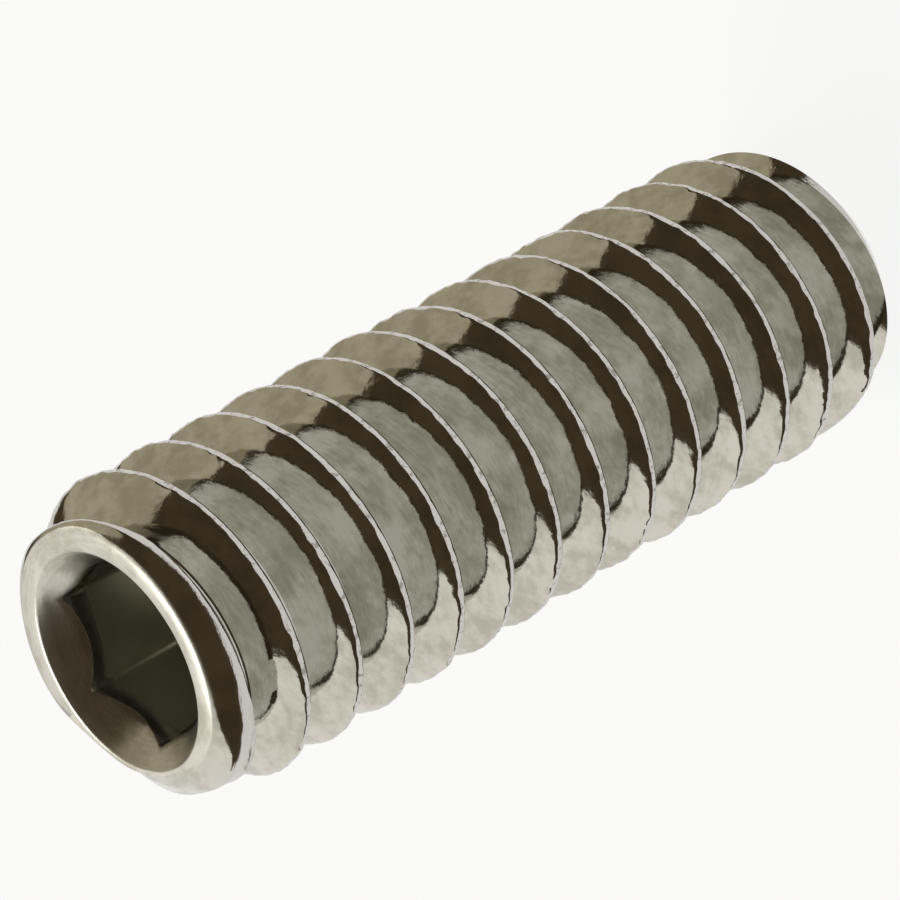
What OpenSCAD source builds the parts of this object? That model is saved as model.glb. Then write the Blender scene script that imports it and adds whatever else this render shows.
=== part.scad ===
// Socket set screw with a flat point: a fully threaded stud with a hex socket in one end
// and a chamfered flat at the other. One turned and thread-rolled piece of stainless steel.
// It stands on its point, with the axis along Z and the origin at the middle of the point.

/* [Body] */
// Length from the point to the socket end
length = 18.6; // [12:0.1:30]

/* [Thread] */
// Major diameter, over the crests
major_d = 6.28; // [6:0.01:6.6]
// Distance from one crest to the next
pitch = 1.27; // [1:0.01:1.5]
// Angle between the two flanks of a groove
flank_angle = 60; // [50:1:70]
// Width of a crest's flat top
crest_w = 0.12; // [0.08:0.01:0.25]
// Width of the root between the ends of the flanks
root_w = 0.32; // [0.2:0.01:0.4]
// How far the curved root dips below the ends of the flanks
root_dip = 0.09; // [0.02:0.01:0.12]
// Angle round the axis at which the crest runs out of the socket end
thread_start = 337; // [0:1:359]
// Facets in one turn of the thread
turn_facets = 60; // [36:1:64]

/* [Point] */
// Diameter of the flat on the point
point_d = 3.9; // [3:0.1:4.4]
// Height of the 45 degree chamfer round the point
point_chamfer = 0.9; // [0.3:0.05:1]
// Length over which the crests then grow to full height
point_runout = 0.8; // [0.6:0.1:2]

/* [Socket end] */
// Outer diameter of the flat lip round the socket
lip_d = 5.08; // [4.6:0.02:5.2]
// Height of the 45 degree chamfer round the lip
lip_chamfer = 0.46; // [0.2:0.01:0.5]
// Length over which the crests then grow to full height
lip_runout = 1.5; // [0.6:0.1:2]

/* [Hex socket] */
// Width across the flats, a 1/8 in key with its clearance
hex_af = 3.2; // [3:0.01:3.3]
// Depth of the hexagon
hex_depth = 3.9; // [2.5:0.1:6]
// Diameter of the countersink at the lip
countersink_d = 4.26; // [3.9:0.02:4.5]
// Full angle of the countersink
countersink_angle = 80; // [60:1:120]
// Diameter of the pilot drill that leaves its cone at the bottom
pilot_d = 3; // [2:0.1:3.1]
// Full angle of the drill's tip
pilot_angle = 118; // [90:1:140]

/* [Hidden] */

cutter_over = 0.3;                      // how far a cutting shape reaches past what it cuts
chamfer_share = 0.85;                   // most of the height from a flat to the crests that is chamfered
round_facets = 96;                      // facets in a true circle

major_r = major_d / 2;
flank_run = (pitch - crest_w - root_w) / 2;
flank_depth = flank_run / tan(flank_angle / 2);

// One pitch of the thread as [radius, height], from root to root with the crest at height 0.
thread_profile = [
    [major_r - flank_depth - root_dip, -pitch / 2],
    [major_r - flank_depth, -crest_w / 2 - flank_run],
    [major_r, -crest_w / 2],
    [major_r, crest_w / 2],
    [major_r - flank_depth, crest_w / 2 + flank_run],
];

// The thread's helix, counted in turns: the crest meets the socket end at turn 0.
first_row = floor(-turn_facets * (length / pitch + 2));
last_row = turn_facets;
columns = len(thread_profile);
rows = last_row - first_row;

function row_angle(row) = thread_start + 360 * (first_row + row) / turn_facets;
function row_height(row) = length + pitch * (first_row + row) / turn_facets;
function thread_point(row, column) = [
    thread_profile[column][0] * cos(row_angle(row)),
    thread_profile[column][0] * sin(row_angle(row)),
    thread_profile[column][1] + row_height(row),
];

// A row's last point is the first point of the row one turn up, so the turns share a seam.
function point_index(row, column) =
    column == columns ? point_index(row + turn_facets, 0)
    : row <= rows ? row * columns + column
    : rows * columns + columns + row - rows - 1;

// Right-hand threaded rod, longer than the screw at both ends.
module threaded_rod() {
    helix = [for (row = [0 : rows], column = [0 : columns - 1]) thread_point(row, column)];
    top_seam = [for (row = [rows + 1 : rows + turn_facets]) thread_point(row, 0)];
    bottom_centre = len(helix) + len(top_seam);
    top_centre = bottom_centre + 1;
    centres = [[0, 0, row_height(0)], [0, 0, row_height(rows)]];

    walls = [
        for (row = [0 : rows - 1], column = [0 : columns - 1])
            let (
                a = point_index(row, column),
                b = point_index(row + 1, column),
                c = point_index(row + 1, column + 1),
                d = point_index(row, column + 1)
            )
            each [[a, c, b], [a, d, c]]
    ];
    ends = [
        for (row = [0 : turn_facets - 1])
            each [
                [bottom_centre, point_index(row, 0), point_index(row + 1, 0)],
                [top_centre, point_index(rows + row + 1, 0), point_index(rows + row, 0)],
            ]
    ];
    seams = [
        [bottom_centre, for (column = [columns : -1 : 0]) point_index(0, column)],
        [top_centre, for (column = [0 : columns]) point_index(rows, column)],
    ];
    polyhedron(concat(helix, top_seam, centres), concat(walls, ends, seams), convexity = 20);
}

// Half section of one end, from the axis out to past the crests: flat, chamfer, run-out.
function end_section(flat_r, wanted_chamfer, runout) =
    let (
        chamfer = min(wanted_chamfer, chamfer_share * (major_r - flat_r)),
        chamfer_r = flat_r + chamfer,
        runout_slope = runout / (major_r - chamfer_r)
    )
    [
        [0, 0],
        [flat_r, 0],
        [chamfer_r, chamfer],
        [major_r + cutter_over, chamfer + runout + cutter_over * runout_slope],
    ];

// The turned shape that trims the thread at both ends.
module blank() {
    point_end = end_section(point_d / 2, point_chamfer, point_runout);
    socket_end = end_section(lip_d / 2, lip_chamfer, lip_runout);
    rotate_extrude($fn = round_facets)
        polygon(concat(
            point_end,
            [for (i = [len(socket_end) - 1 : -1 : 0]) [socket_end[i][0], length - socket_end[i][1]]]
        ));
}

// What the countersink, the hex broach and the pilot drill take out.
module socket() {
    hex_r = hex_af / 2 / cos(30);
    countersink_h = countersink_d / 2 / tan(countersink_angle / 2);
    countersink_top_r = countersink_d / 2 + cutter_over * tan(countersink_angle / 2);
    pilot_h = pilot_d / 2 / tan(pilot_angle / 2);

    translate([0, 0, length - hex_depth])
        rotate(90)
            cylinder(h = hex_depth + cutter_over, r = hex_r, $fn = 6);
    translate([0, 0, length - countersink_h])
        cylinder(h = countersink_h + cutter_over, r1 = 0, r2 = countersink_top_r, $fn = round_facets);
    translate([0, 0, length - hex_depth - pilot_h])
        cylinder(h = pilot_h, r1 = 0, r2 = pilot_d / 2, $fn = round_facets);
}

module set_screw() {
    color([0.70, 0.69, 0.64])
        intersection() {
            threaded_rod();
            difference() {
                blank();
                socket();
            }
        }
}

set_screw();
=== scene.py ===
import math

import bmesh
import bpy
import numpy as np
from mathutils import Matrix, Vector, noise


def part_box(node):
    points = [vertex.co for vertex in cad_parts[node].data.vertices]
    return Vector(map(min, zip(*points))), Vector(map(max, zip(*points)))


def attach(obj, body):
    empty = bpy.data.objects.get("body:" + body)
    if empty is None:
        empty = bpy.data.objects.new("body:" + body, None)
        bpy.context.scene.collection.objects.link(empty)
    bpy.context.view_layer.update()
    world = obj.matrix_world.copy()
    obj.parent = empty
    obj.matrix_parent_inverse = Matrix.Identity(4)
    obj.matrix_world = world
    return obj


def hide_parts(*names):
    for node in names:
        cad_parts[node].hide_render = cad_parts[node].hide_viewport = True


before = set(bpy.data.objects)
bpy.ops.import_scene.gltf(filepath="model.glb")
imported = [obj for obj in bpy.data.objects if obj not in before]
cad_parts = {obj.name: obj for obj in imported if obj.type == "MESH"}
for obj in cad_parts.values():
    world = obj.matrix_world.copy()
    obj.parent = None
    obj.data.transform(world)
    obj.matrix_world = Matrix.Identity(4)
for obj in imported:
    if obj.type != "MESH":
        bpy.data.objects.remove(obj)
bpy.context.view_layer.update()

MM = 0.001
NODE = "set_screw"

# ---------------------------------------------------------------- sizes, in millimetres
box_low, box_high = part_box(NODE)
LENGTH = (box_high.z - box_low.z) / MM
MAJOR_R = (box_high.x - box_low.x) / 2 / MM
PITCH = 1.27
FLANK_SLOPE = 1 / math.tan(math.radians(30))    # depth gained per millimetre along the axis
CREST_W = 0.105
CREST_UNEVEN = 0.045                            # how far the rolled crest wanders in height
ROOT_DEPTH, ROOT_ROUND = 0.9, 0.04
CREST_ROUND, CREST_ROUND_BACK = 0.035, 0.07     # towards the socket, and towards the point
CROWN, CROWN_REACH = 0.05, 0.13                 # how the flanks bulge close to the crest
THREAD_START = math.radians(337)
# Wear of the crests: its mean and its most, then each noise's waves per millimetre, strength and seed
WEAR_MEAN, WEAR_MOST = 0.6, 2
WEAR_WAVES = ((0.9, 0.6, 1), (3.1, 0.4, 2), (6.5, 0.6, 5))

POINT_R, POINT_CHAMFER, POINT_RUNOUT, POINT_ROUND = 1.95, 0.9, 0.8, 0.05
# The lip: a flat, a rounded edge, a chamfer, and a shoulder that the first turn of the crest keeps to
LIP_R, LIP_RIM, LIP_RIM_REACH = 2.51, 0.05, 0.04
LIP_ASIDE, LIP_ASIDE_AT = 0.035, math.radians(85)
SHOULDER_R, SHOULDER_SLOPE, SHOULDER_WEAR, SHOULDER_ROUND = 2.82, 0.12, 0.3, 0.1
RUNOUT_AT, RUNOUT_SLOPE = 0.58, 0.66
FLAT_LIP, FLAT_LIP_AT, FLAT_LIP_SPREAD = 2.2, math.radians(332), math.radians(34)
LOW_START, LOW_START_AT, LOW_START_SPREAD = 0.2, math.radians(352), math.radians(34)
# Where the first groove opens through the lip, close above it
GROOVE_AT, GROOVE_SPREAD, GROOVE_R = math.radians(345), math.radians(60), 2.7
GROOVE_EDGE, GROOVE_DEPTH = 0.1, 0.56
# Where the first and the last turn of the crest are rolled low
LOW_LIP_R, LOW_LIP_AT, LOW_LIP_DEPTH = 2.78, math.radians(165), 0.7
LOW_POINT_R, LOW_POINT_AT, LOW_POINT_DEPTH = 2.95, math.radians(185), 1.6
LOW_SPREAD, LOW_SLOPE = math.radians(63), 0.5
# Where the lip is pressed in
DENT_AT, DENT_DEPTH, DENT_REACH = math.radians(106), 0.22, 0.7
DENT_BEFORE, DENT_AFTER = math.radians(18), math.radians(28)
# How wide the edges are rounded where the thread is trimmed
POINT_TRIM, GROOVE_TRIM, LIP_TRIM, LOW_TRIM = 0.03, 0.02, 0.06, 0.08

HEX_ACROSS = 3.2                                # from flat to flat
HEX_R = HEX_ACROSS / 2 / math.cos(math.radians(30))
HEX_CORNER = math.radians(90)
HEX_DEPTH = 3.9
HEX_BREAK = 0.02                                # how much is off the hexagon's corners and mouth
COUNTERSINK_R = 2.13
COUNTERSINK_SLOPE = math.tan(math.radians(40))
PILOT_R = 1.5
PILOT_H = PILOT_R / math.tan(math.radians(59))

# ---------------------------------------------------------------- rows and columns of the mesh
COLUMNS = 284
# Places of the rows across one pitch, close together where the crest and the root are rounded
ROW_PHASES = (-0.47, -0.45, -0.43, -0.25, -0.16, -0.115, -0.085, -0.065, -0.05, -0.035, -0.025, 0,
              0.025, 0.034, 0.043, 0.056, 0.085, 0.14, 0.24, 0.43, 0.45, 0.47)
ROWS_PER_PITCH = len(ROW_PHASES)
TURNS_BELOW, TURNS_ABOVE = 3, 1                 # turns of rows past the ends, which are clipped to them
LIP_DROPS = (0.13, 0.1, 0.07, 0.045, 0.025, 0.01, 0)     # rings round the edge of the lip
RIM_STEPS = ((0.04, 0), (0.01, 0.005))          # rings out and down from the countersink's edge
# Rings as shares of the way across the point, down the countersink, the hexagon and the cone
POINT_SHARES, COUNTERSINK_SHARES = (0.3, 0.7, 0.97), (0.05, 0.35, 0.7, 0.97)
WALL_SHARES, CONE_SHARE = (0.1, 0.4, 0.7, 0.98), 0.5
MERGE, FLATTEN = 0.0005, 0.0003                 # points and edges closer than this are one
# Edges that bend more are left sharp: elsewhere, at the point, and round the lip
SHARP, SHARP_AT_POINT, SHARP_AT_LIP = math.radians(38), math.radians(22), math.radians(62)
LIP_ZONE, LIP_ZONE_R = 1.4, COUNTERSINK_R + 0.1  # how far down the lip reaches, and its inner radius


# ---------------------------------------------------------------- form
def soft_min(a, b, width):
    """The lower of a and b, rounded off where they cross."""
    gap = np.clip(0.5 + 0.5 * (b - a) / width, 0, 1)
    return b * (1 - gap) + a * gap - width * gap * (1 - gap)


def speckle(points, scale, seed):
    """Smooth noise, about -1 to 1, at each point."""
    shift = Vector((seed * 7.3, seed * 3.1, seed * 5.7))
    return np.array([noise.noise(Vector(p) * scale + shift) for p in points.reshape(-1, 3)])


def ring(angle, radius, height):
    """One ring of points."""
    r = np.broadcast_to(radius, angle.shape)
    return np.stack([r * np.cos(angle), r * np.sin(angle), np.broadcast_to(height, angle.shape)], axis=1)


def turn_from(angle, middle):
    """Angle from the middle, between minus and plus half a turn."""
    return np.mod(angle - middle + math.pi, 2 * math.pi) - math.pi


def crest_wear(angle, height):
    """How much is rolled and worn off the crest, from 0 up."""
    at = ring(angle, MAJOR_R, height)
    wear = WEAR_MEAN
    for scale, strength, seed in WEAR_WAVES:
        wear = wear + strength * speckle(at, scale, seed)
    return np.clip(wear, 0, WEAR_MOST)


def thread_radius(phase, wear):
    """Radius of the thread, with phase counted in pitches from the crest."""
    side = phase - np.round(phase)
    down = np.abs(side) * PITCH - CREST_W / 2
    flank = MAJOR_R - down * FLANK_SLOPE + CROWN * (1 - np.exp(-down / CROWN_REACH))
    rounding = np.where(side > 0, CREST_ROUND, CREST_ROUND_BACK)
    crested = soft_min(flank, MAJOR_R - CREST_UNEVEN * wear, rounding)
    return -soft_min(-crested, ROOT_DEPTH - MAJOR_R, ROOT_ROUND)


def point_radius(height):
    """Radius to which the chamfered point trims the thread."""
    steep = POINT_R + height
    shoulder = POINT_R + POINT_CHAMFER
    shallow = shoulder + (height - POINT_CHAMFER) * (MAJOR_R - shoulder) / POINT_RUNOUT
    return soft_min(steep, shallow, POINT_ROUND)


def lip_radius(angle, from_end, wear):
    """Radius to which the rounded, chamfered lip trims the thread."""
    flat = np.exp(-(turn_from(angle, FLAT_LIP_AT) / FLAT_LIP_SPREAD) ** 2)
    low = np.exp(-(turn_from(angle, LOW_START_AT) / LOW_START_SPREAD) ** 2)
    edge = LIP_R + LIP_ASIDE * np.cos(angle - LIP_ASIDE_AT)
    edge = edge + LIP_RIM * (1 - np.exp(-from_end / LIP_RIM_REACH))
    steep = edge + from_end * (1 + FLAT_LIP * flat)
    shoulder = SHOULDER_R + SHOULDER_SLOPE * from_end - LOW_START * low
    shoulder = shoulder - SHOULDER_WEAR * CREST_UNEVEN * wear
    shoulder = shoulder + RUNOUT_SLOPE * np.maximum(from_end - RUNOUT_AT, 0)
    return soft_min(steep, shoulder, SHOULDER_ROUND)


def early_groove(angle, from_end):
    """Radius of the groove's upper wall where it opens through the lip."""
    aside = (turn_from(angle, GROOVE_AT) / GROOVE_SPREAD) ** 2
    wall = GROOVE_R + aside - FLANK_SLOPE * (from_end - GROOVE_EDGE)
    wall = np.maximum(wall, MAJOR_R - ROOT_DEPTH)
    return np.where(from_end < GROOVE_DEPTH, wall, MAJOR_R)


def lip_dent(angle, from_end):
    """How far the lip is pressed in where the last groove runs out through it."""
    turn = turn_from(angle, DENT_AT)
    spread = np.where(turn < 0, DENT_BEFORE, DENT_AFTER)
    fade = np.clip(1 - from_end / DENT_REACH, 0, 1)
    return DENT_DEPTH * np.exp(-(turn / spread) ** 2) * fade * fade * (3 - 2 * fade)


def low_crest(angle, from_end, low_r, low_at, low_depth):
    """Radius that an end's outermost turn of the crest reaches where it is rolled low."""
    aside = (turn_from(angle, low_at) / LOW_SPREAD) ** 2
    return low_r + aside + LOW_SLOPE * np.maximum(from_end - low_depth, 0)


def screw_radius(angle, height):
    """Radius of the outside of the screw: the thread, trimmed by the forms of both ends."""
    phase = (height - LENGTH) / PITCH - (angle - THREAD_START) / (2 * math.pi)
    from_end = LENGTH - height
    wear = crest_wear(angle, height)
    low_at_lip = low_crest(angle, from_end, LOW_LIP_R, LOW_LIP_AT, LOW_LIP_DEPTH)
    low_at_point = low_crest(angle, height, LOW_POINT_R, LOW_POINT_AT, LOW_POINT_DEPTH)
    r = thread_radius(phase, wear)
    r = soft_min(r, point_radius(height), POINT_TRIM)
    r = soft_min(r, early_groove(angle, from_end), GROOVE_TRIM)
    r = soft_min(r, lip_radius(angle, from_end, wear), LIP_TRIM)
    r = soft_min(r, low_at_lip, LOW_TRIM)
    r = soft_min(r, low_at_point, LOW_TRIM)
    return r - lip_dent(angle, from_end)


def hex_radius(angle):
    """Distance from the axis to the wall of the hexagon, with the corners just broken."""
    turn = np.mod(angle - HEX_CORNER, math.pi / 3) - math.pi / 6
    wall = HEX_R * math.cos(math.radians(30)) / np.cos(turn)
    return np.minimum(wall, HEX_R - HEX_BREAK)


def thread_rings(angle):
    """Rings of points that climb with the thread, one pitch in each turn, clipped at both ends."""
    lead = PITCH * (angle - THREAD_START) / (2 * math.pi)
    rings = []
    for turn in range(-int(LENGTH / PITCH) - TURNS_BELOW, TURNS_ABOVE + 1):
        for phase in ROW_PHASES:
            height = LENGTH + (turn + phase) * PITCH + lead
            height = np.clip(height, 0, LENGTH - LIP_DROPS[0])
            rings.append(ring(angle, screw_radius(angle, height), height))
    return rings


def socket_rings(angle):
    """Rings of points from the countersink's edge down the hexagon into the pilot's cone."""
    wall = hex_radius(angle)
    mouth = LENGTH - (COUNTERSINK_R - wall) / COUNTERSINK_SLOPE
    floor = LENGTH - HEX_DEPTH
    rings = [ring(angle, COUNTERSINK_R + out, LENGTH - down) for out, down in RIM_STEPS]
    for share in COUNTERSINK_SHARES:
        r = COUNTERSINK_R + share * (wall - COUNTERSINK_R)
        rings.append(ring(angle, r, LENGTH + share * (mouth - LENGTH)))
    rings.append(ring(angle, wall, mouth - HEX_BREAK))
    for share in WALL_SHARES:
        rings.append(ring(angle, wall, mouth + share * (floor - mouth)))
    rings.append(ring(angle, wall - HEX_BREAK, floor))
    rings.append(ring(angle, PILOT_R, floor))
    rings.append(ring(angle, PILOT_R * CONE_SHARE, floor - PILOT_H * CONE_SHARE))
    return rings


def screw_rings():
    """All rings, from the middle of the point up the thread and down into the socket.

    Also gives the first and the last ring of the thread.
    """
    angle = np.arange(COLUMNS) * 2 * math.pi / COLUMNS
    rings = [ring(angle, POINT_R * share, 0) for share in POINT_SHARES]
    thread_first = len(rings)
    rings += thread_rings(angle)
    thread_last = len(rings) - 1
    for drop in LIP_DROPS:
        height = np.full(COLUMNS, LENGTH - drop)
        rings.append(ring(angle, screw_radius(angle, height), height))
    rings += socket_rings(angle)
    return rings, thread_first, thread_last


def screw_faces(ring_count, thread_first, thread_last):
    """Quads between the rings, and fans that close the point and the pilot's cone.

    The thread climbs one pitch in a turn, so at the seam its quads join rows one pitch apart.
    """
    faces = []
    for low in range(ring_count - 1):
        on_thread = thread_first <= low < thread_last
        for column in range(COLUMNS):
            beside = (column + 1) % COLUMNS
            over = low + ROWS_PER_PITCH if on_thread and beside == 0 else low
            if on_thread and over >= thread_last:
                continue
            a, b = low * COLUMNS + column, over * COLUMNS + beside
            faces.append((a, b, b + COLUMNS, a + COLUMNS))
    point_middle = ring_count * COLUMNS
    cone_tip = point_middle + 1
    last = point_middle - COLUMNS
    for column in range(COLUMNS):
        beside = (column + 1) % COLUMNS
        faces.append((point_middle, beside, column))
        faces.append((cone_tip, last + column, last + beside))
    return faces


def smooth_limit(edge):
    """How far an edge may bend and still be shaded smooth."""
    middle = (edge.verts[0].co + edge.verts[1].co) / 2 / MM
    if middle.z < POINT_CHAMFER + POINT_RUNOUT:
        return SHARP_AT_POINT
    if middle.z > LENGTH - LIP_ZONE and math.hypot(middle.x, middle.y) > LIP_ZONE_R:
        return SHARP_AT_LIP
    return SHARP


def make_screw():
    rings, thread_first, thread_last = screw_rings()
    ends = np.array([[0, 0, 0], [0, 0, LENGTH - HEX_DEPTH - PILOT_H]])
    points = np.concatenate(rings + [ends]) * MM
    faces = screw_faces(len(rings), thread_first, thread_last)
    mesh = bpy.data.meshes.new("screw_skin")
    mesh.from_pydata(points.tolist(), [], faces)
    work = bmesh.new()
    work.from_mesh(mesh)
    bmesh.ops.remove_doubles(work, verts=work.verts, dist=MERGE * MM)
    bmesh.ops.dissolve_degenerate(work, dist=FLATTEN * MM, edges=work.edges)
    for edge in work.edges:
        edge.smooth = edge.calc_face_angle(0) < smooth_limit(edge)
    for face in work.faces:
        face.smooth = True
    work.to_mesh(mesh)
    work.free()
    piece = bpy.data.objects.new("screw_skin", mesh)
    bpy.context.scene.collection.objects.link(piece)
    return piece


# ---------------------------------------------------------------- node helpers
class Nodes:
    """A node tree, with short calls for the nodes that are used here."""

    def __init__(self, tree):
        self.tree = tree

    def new(self, kind, **values):
        node = self.tree.nodes.new(kind)
        for name, value in values.items():
            setattr(node, name, value)
        return node

    def put(self, value, socket):
        """Link a socket to this one, or set it to a constant."""
        if isinstance(value, bpy.types.NodeSocket):
            self.tree.links.new(value, socket)
        else:
            socket.default_value = value

    def math(self, operation, a, b=0.0, clamp=False):
        node = self.new("ShaderNodeMath", operation=operation, use_clamp=clamp)
        for value, socket in zip((a, b), node.inputs):
            self.put(value, socket)
        return node.outputs[0]

    def add(self, a, b):
        return self.math("ADD", a, b)

    def times(self, a, b):
        return self.math("MULTIPLY", a, b)

    def rest(self, value):
        """What is left of 1."""
        return self.math("SUBTRACT", 1.0, value)

    def between(self, value, zero_at, one_at):
        """0 at the first place, 1 at the second, and smooth between."""
        node = self.new("ShaderNodeMapRange", interpolation_type="SMOOTHSTEP")
        self.put(value, node.inputs["Value"])
        node.inputs["From Min"].default_value = zero_at
        node.inputs["From Max"].default_value = one_at
        return node.outputs["Result"]

    def zone(self, value, zero_at, one_at):
        """As between, with both places in millimetres."""
        return self.between(value, zero_at * MM, one_at * MM)

    def mix(self, share, a, b):
        node = self.new("ShaderNodeMix", data_type="RGBA")
        self.put(share, node.inputs["Factor"])
        self.put(a, node.inputs[6])
        self.put(b, node.inputs[7])
        return node.outputs[2]

    def mottle(self, at, scale, detail, rough):
        node = self.new("ShaderNodeTexNoise", noise_dimensions="3D")
        self.put(at, node.inputs["Vector"])
        node.inputs["Scale"].default_value = scale
        node.inputs["Detail"].default_value = detail
        node.inputs["Roughness"].default_value = rough
        return node.outputs["Fac"]

    def xyz(self, vector):
        node = self.new("ShaderNodeSeparateXYZ")
        self.put(vector, node.inputs[0])
        return node.outputs

    def join(self, x, y, z):
        node = self.new("ShaderNodeCombineXYZ")
        for value, socket in zip((x, y, z), node.inputs):
            self.put(value, socket)
        return node.outputs[0]


def new_material(name):
    material = bpy.data.materials.new(name)
    material.use_nodes = True
    tree = material.node_tree
    tree.nodes.clear()
    return material, Nodes(tree), tree.nodes.new("ShaderNodeOutputMaterial")


# ---------------------------------------------------------------- steel
STEEL = (0.58, 0.57, 0.515, 1)
STEEL_DULL = (0.43, 0.42, 0.36, 1)
CREST_STEEL = (0.62, 0.60, 0.56, 1)
PIT = (0.34, 0.32, 0.28, 1)
# A darker, yellower colour that the steel is given deep inside the socket
DARKER_DEEP_IN_SOCKET = (0.50, 0.49, 0.42, 1)

# Noises, each with its waves per metre, its detail and its roughness
STREAKS, CLOUD, GRAIN = (14000, 3, 0.6), (900, 4, 0.6), (9000, 3, 0.6)
PITS, WAVES = (7000, 2, 0.7), (1300, 2, 0.5)
STREAK_R = 0.5                      # a small radius draws the streaks out along the thread
# Where each mask fades, in millimetres, or as the lean of the surface for CREST_LEAN
CREST_FROM, CREST_LEAN = (MAJOR_R - 0.5, MAJOR_R - 0.45), (0.5, 0.3)
PITS_FROM = (MAJOR_R - 0.25, MAJOR_R - 0.2)
WALL_FROM, MOUTH_FROM, SOCKET_FROM = (1.9, 2.0), (LENGTH - 1.0, LENGTH - 0.6), (10, 11)
LIP_FROM, LIP_OUTSIDE = (LENGTH - 0.62, LENGTH - 0.5), (2.5, 2.62)
# Shares of the cloud and the streaks in the dull patches, and where pits and dull patches begin
DULL_CLOUD, DULL_STREAKS, DULL_BETWEEN, PITS_BETWEEN = 0.6, 0.4, (0.4, 0.62), (0.54, 0.66)
# Roughness of the bright steel, and what the streaks, the turned lip, the crests and the socket add
ROUGH, ROUGH_STREAKS, ROUGH_LIP, ROUGH_CREST, ROUGH_SOCKET = 0.03, 0.08, 0.22, 0.17, 0.25
CREST_FILM = 0.07                   # how much less metallic the worn crests are
# Height of the streaks and the grain, how many times more of them the crests have, and the waves
BUMP_STREAKS, BUMP_GRAIN, BUMP_CREST, BUMP_WAVES = 0.5, 0.5, 14.0, 4.0
BUMP_STRENGTH, BUMP_DISTANCE = 0.12, 0.02


def steel_masks(nodes, radius, z):
    """Where the steel is crest, inside of the socket and turned lip, each from 0 to 1."""
    normal = nodes.new("ShaderNodeTexCoord").outputs["Normal"]
    lean = nodes.math("ABSOLUTE", nodes.xyz(normal)[2])
    crest = nodes.times(nodes.zone(radius, *CREST_FROM), nodes.between(lean, *CREST_LEAN))
    inside = nodes.rest(nodes.zone(radius, *WALL_FROM))
    deep = nodes.rest(nodes.zone(z, *MOUTH_FROM))
    socket = nodes.times(nodes.times(inside, deep), nodes.zone(z, *SOCKET_FROM))
    lip = nodes.times(nodes.zone(z, *LIP_FROM), nodes.rest(nodes.zone(radius, *LIP_OUTSIDE)))
    return crest, socket, lip


def steel_streaks(nodes, x, y, z, radius):
    """Fine streaks along the thread, as rolling leaves them."""
    angle = nodes.math("ARCTAN2", y, x)
    round_x = nodes.times(nodes.math("COSINE", angle), STREAK_R * MM)
    round_y = nodes.times(nodes.math("SINE", angle), STREAK_R * MM)
    return nodes.mottle(nodes.join(round_x, round_y, nodes.add(z, radius)), *STREAKS)


def steel_colour(nodes, place, radius, streaks, crest, socket):
    cloud = nodes.mottle(place, *CLOUD)
    dull = nodes.add(nodes.times(cloud, DULL_CLOUD), nodes.times(streaks, DULL_STREAKS))
    colour = nodes.mix(nodes.between(dull, *DULL_BETWEEN), STEEL, STEEL_DULL)
    colour = nodes.mix(crest, colour, CREST_STEEL)
    pitted = nodes.times(crest, nodes.between(nodes.mottle(place, *PITS), *PITS_BETWEEN))
    pitted = nodes.times(pitted, nodes.zone(radius, *PITS_FROM))
    colour = nodes.mix(pitted, colour, PIT)
    # Deep inside the socket the colour turns darker and yellower
    return nodes.mix(socket, colour, DARKER_DEEP_IN_SOCKET)


def steel_roughness(nodes, streaks, crest, socket, lip):
    rough = nodes.add(ROUGH, nodes.times(streaks, ROUGH_STREAKS))
    rough = nodes.add(rough, nodes.times(lip, ROUGH_LIP))
    rough = nodes.add(rough, nodes.times(crest, ROUGH_CREST))
    return nodes.add(rough, nodes.times(socket, ROUGH_SOCKET))


def steel_bump(nodes, place, streaks, crest):
    grain = nodes.mottle(place, *GRAIN)
    height = nodes.add(nodes.times(streaks, BUMP_STREAKS), nodes.times(grain, BUMP_GRAIN))
    height = nodes.times(height, nodes.add(1.0, nodes.times(crest, BUMP_CREST)))
    height = nodes.add(height, nodes.times(nodes.mottle(place, *WAVES), BUMP_WAVES))
    bump = nodes.new("ShaderNodeBump")
    bump.inputs["Strength"].default_value = BUMP_STRENGTH
    bump.inputs["Distance"].default_value = BUMP_DISTANCE * MM
    nodes.put(height, bump.inputs["Height"])
    return bump.outputs["Normal"]


def steel_material():
    """Bright rolled stainless steel: streaks along the thread, dull crests, and a darker colour deep in
    the socket.
    """
    material, nodes, out = new_material("stainless_steel_worn")
    place = nodes.new("ShaderNodeTexCoord").outputs["Object"]
    x, y, z = nodes.xyz(place)
    radius = nodes.math("SQRT", nodes.add(nodes.times(x, x), nodes.times(y, y)))
    crest, socket, lip = steel_masks(nodes, radius, z)
    streaks = steel_streaks(nodes, x, y, z, radius)
    shader = nodes.new("ShaderNodeBsdfPrincipled")
    nodes.put(steel_colour(nodes, place, radius, streaks, crest, socket), shader.inputs["Base Color"])
    nodes.put(nodes.rest(nodes.times(crest, CREST_FILM)), shader.inputs["Metallic"])
    nodes.put(steel_roughness(nodes, streaks, crest, socket, lip), shader.inputs["Roughness"])
    nodes.put(steel_bump(nodes, place, streaks, crest), shader.inputs["Normal"])
    nodes.put(shader.outputs[0], out.inputs["Surface"])
    return material


# ---------------------------------------------------------------- stage
FLOOR_SIZE = 4
FLOOR_GLOW = 0.88                   # share of the floor that shines, which leaves its shadow faint
WHITE = (1, 1, 1, 1)
WORLD = (0.07, 0.052, 0.03, 1)      # dim and warm
# Each soft lamp's name, its azimuth and elevation in degrees, its distance and width in metres,
# how bright it shows in the metal, and its colour
LAMPS = (
    ("key", 108, 32, 2.0, 3.8, 0.95, (1, 0.99, 0.96)),
    ("fill", 25, 24, 2.0, 2.6, 0.45, (1, 0.92, 0.70)),
    ("top", 82, 66, 2.0, 1.3, 3.0, (1, 0.99, 0.95)),
)


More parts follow.
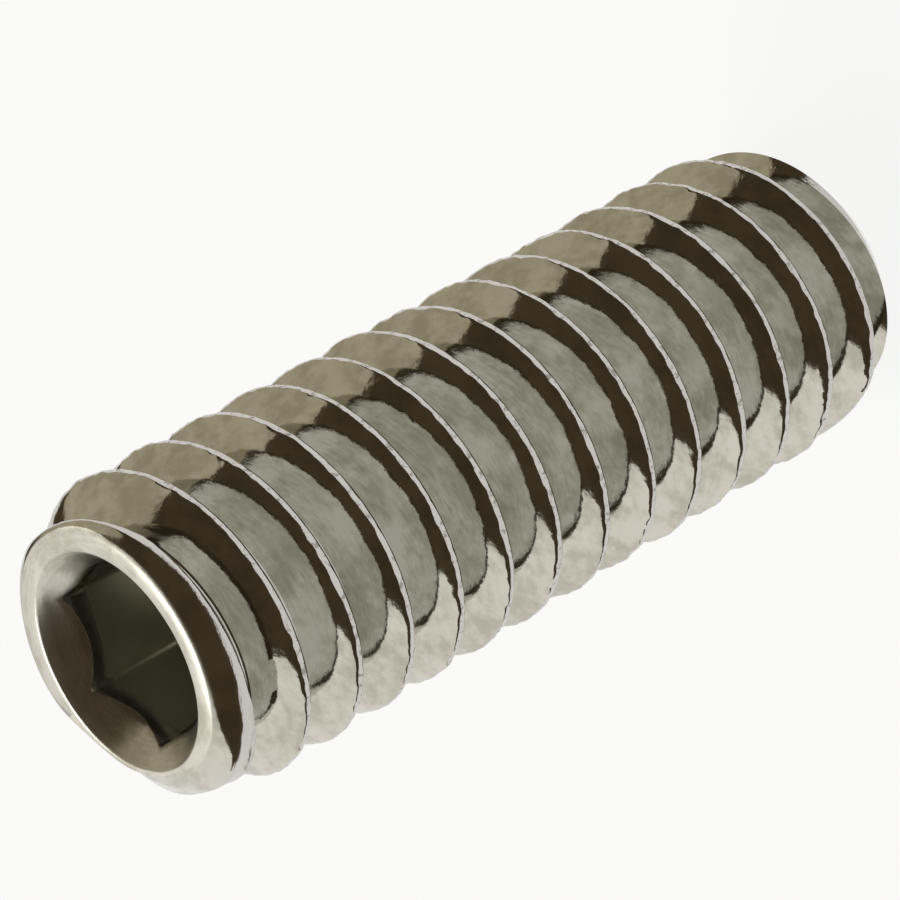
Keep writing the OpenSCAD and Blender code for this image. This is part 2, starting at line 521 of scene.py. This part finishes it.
def floor_material():
    """White, and partly shining for the camera, for reflections and through glass alike."""
    material, nodes, out = new_material("floor_white")
    shader = nodes.new("ShaderNodeBsdfDiffuse")
    shader.inputs["Color"].default_value = WHITE
    glow = nodes.new("ShaderNodeEmission")
    path = nodes.new("ShaderNodeLightPath").outputs
    seen = nodes.add(path["Is Camera Ray"], path["Is Glossy Ray"])
    seen = nodes.math("ADD", seen, path["Is Transmission Ray"], clamp=True)
    blend = nodes.new("ShaderNodeMixShader")
    nodes.put(nodes.times(seen, FLOOR_GLOW), blend.inputs["Fac"])
    nodes.put(shader.outputs[0], blend.inputs[1])
    nodes.put(glow.outputs[0], blend.inputs[2])
    nodes.put(blend.outputs[0], out.inputs["Surface"])
    return material


def make_floor():
    bpy.ops.mesh.primitive_plane_add(size=FLOOR_SIZE)
    floor = bpy.context.object
    floor.name = "floor"
    floor.data.materials.append(floor_material())


def direction(azimuth, elevation):
    """Unit vector from the screw, with both angles in degrees."""
    a, e = math.radians(azimuth), math.radians(elevation)
    return Vector((math.cos(e) * math.cos(a), math.cos(e) * math.sin(a), math.sin(e)))


def make_lamp(name, azimuth, elevation, distance, width, glow, colour):
    """A round soft lamp that shows in the metal as bright as its glow."""
    data = bpy.data.lights.new(name, "AREA")
    data.shape = "DISK"
    data.size = width
    data.energy = glow * math.pi * math.pi * width * width / 4
    data.color = colour
    lamp = bpy.data.objects.new(name, data)
    away = direction(azimuth, elevation)
    lamp.location = away * distance
    lamp.rotation_euler = away.to_track_quat("Z", "Y").to_euler()
    bpy.context.scene.collection.objects.link(lamp)


def make_world():
    world = bpy.data.worlds.new("studio")
    bpy.context.scene.world = world
    world.use_nodes = True
    background = world.node_tree.nodes["Background"]
    background.inputs["Color"].default_value = WORLD
    background.inputs["Strength"].default_value = 1.0


# ---------------------------------------------------------------- camera
# Degrees, then millimetres from the middle of the screw, and the lens
CAMERA_AZIMUTH, CAMERA_ELEVATION, CAMERA_ROLL = 262.07, 36.20, math.radians(-119.42)
CAMERA_DISTANCE, CAMERA_ASIDE, CAMERA_ABOVE = 76.61 * MM, 0.683 * MM, -0.029 * MM
CAMERA_LENS, CAMERA_NEAR, CAMERA_FAR = 162.64, 0.001, 10


def make_camera():
    """The photograph's viewpoint above the socket, rolled so that the screw lies across the frame."""
    back = direction(CAMERA_AZIMUTH, CAMERA_ELEVATION)
    right = Vector((0, 0, 1)).cross(back).normalized()
    up = back.cross(right)
    turned_right = right * math.cos(CAMERA_ROLL) + up * math.sin(CAMERA_ROLL)
    turned_up = up * math.cos(CAMERA_ROLL) - right * math.sin(CAMERA_ROLL)
    middle = (box_low + box_high) / 2
    place = middle - turned_right * CAMERA_ASIDE - turned_up * CAMERA_ABOVE + back * CAMERA_DISTANCE
    data = bpy.data.cameras.new("camera")
    data.lens = CAMERA_LENS
    data.clip_start, data.clip_end = CAMERA_NEAR, CAMERA_FAR
    camera = bpy.data.objects.new("camera", data)
    turn = Matrix((turned_right, turned_up, back)).transposed()
    camera.matrix_world = Matrix.Translation(place) @ turn.to_4x4()
    bpy.context.scene.collection.objects.link(camera)
    bpy.context.scene.camera = camera


# ---------------------------------------------------------------- scene
screw = make_screw()
screw.data.materials.append(steel_material())
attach(screw, "root")
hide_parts(NODE)
make_floor()
make_world()
for lamp in LAMPS:
    make_lamp(*lamp)
make_camera()
bpy.context.scene.view_settings.view_transform = "Standard"
